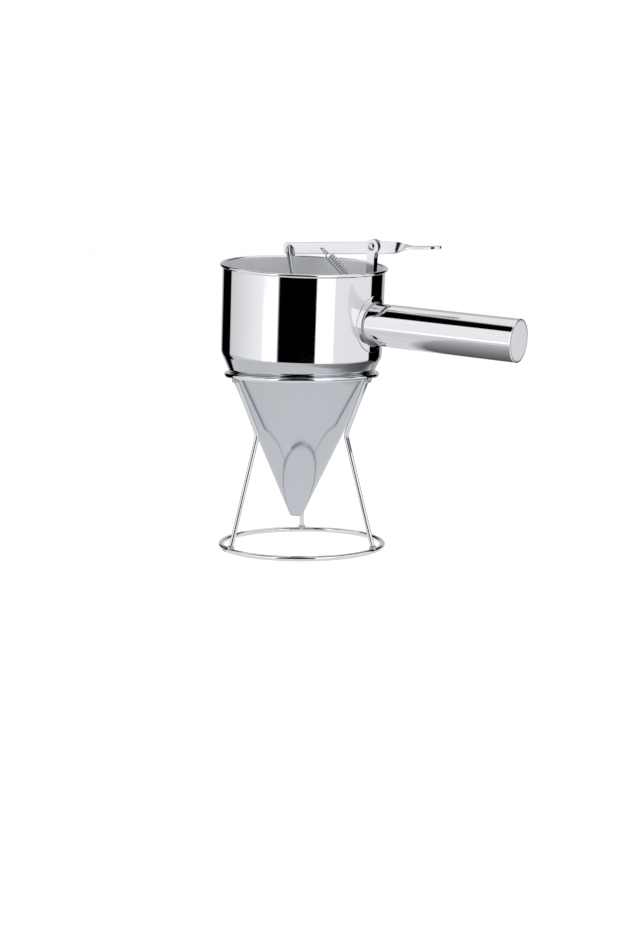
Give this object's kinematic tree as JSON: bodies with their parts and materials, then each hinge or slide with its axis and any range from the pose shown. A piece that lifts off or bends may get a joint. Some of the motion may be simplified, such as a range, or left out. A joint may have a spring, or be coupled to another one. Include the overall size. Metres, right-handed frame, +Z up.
{
  "type": "batter dispenser",
  "caption": "Steel funnel with a tube handle, a thumb lever that lifts a valve rod out of the outlet, and a wire stand it rests in.",
  "frame": {"origin": "on the table at the stand's axis, midway round the base ring", "axes": "+Z up, +X towards the handle; the funnel rests in the stand with a slight lean"},
  "size_m": [0.2128, 0.1144, 0.2057],
  "materials": {
    "wire": "polished round wire",
    "weld": "bead of weld, brushed over",
    "polished_sheet": "mirror polished sheet",
    "satin_sheet": "fine satin sheet",
    "polished_tube": "mirror polished tube",
    "brushed_cap": "flat brushed disc",
    "bracket_sheet": "polished pressed sheet",
    "rivet": "satin rivet",
    "lever_strip": "lightly brushed strip",
    "spring_wire": "drawn spring wire",
    "rod": "polished rod"
  },
  "bodies": {
    "stand": {"stand_top_ring": "wire", "stand_base_ring": "wire", "stand_leg_handle": "wire", "stand_leg_left": "wire", "stand_leg_back": "wire", "stand_top_welds": "weld", "stand_foot_welds": "weld", "base_ring_joint": "weld"},
    "funnel": {"bowl": "polished_sheet", "cone": "satin_sheet", "handle_flange": "polished_sheet", "handle_tube": "polished_tube", "handle_root_weld": "weld", "handle_end_cap": "brushed_cap", "lever_bracket": "bracket_sheet", "bracket_spot_welds": "weld", "pivot_rivet": "rivet", "pivot_washers": "rivet"},
    "lever": {"lever": "lever_strip", "lever_spring": "spring_wire"},
    "valve": {"valve_rod": "rod", "valve_plug": "rod", "plug_nut": "rod"}
  },
  "joints": [
    {"name": "funnel_lift", "type": "slide", "parent": "stand", "child": "funnel", "axis": [0, 0, 1], "range_m": [0, 0.105]},
    {"name": "lever_pivot", "type": "hinge", "parent": "funnel", "child": "lever", "pos_m": [0.05553, -0.00416, 0.20089], "axis": [0.0024, 0.9979, 0.064], "range_deg": [0, 14], "stiffness_Nm_per_rad": 0.6, "springref_deg": -17.19, "deforming": ["lever_spring"]},
    {"name": "valve_swing", "type": "hinge", "parent": "lever", "child": "valve", "pos_m": [-0.00631, -0.00396, 0.20017], "axis": [0.0024, 0.9979, 0.064], "range_deg": [-14, 0]}
  ],
  "couplings": [
    {"joint": "valve_swing", "follows": "lever_pivot", "ratio": -1}
  ]
}
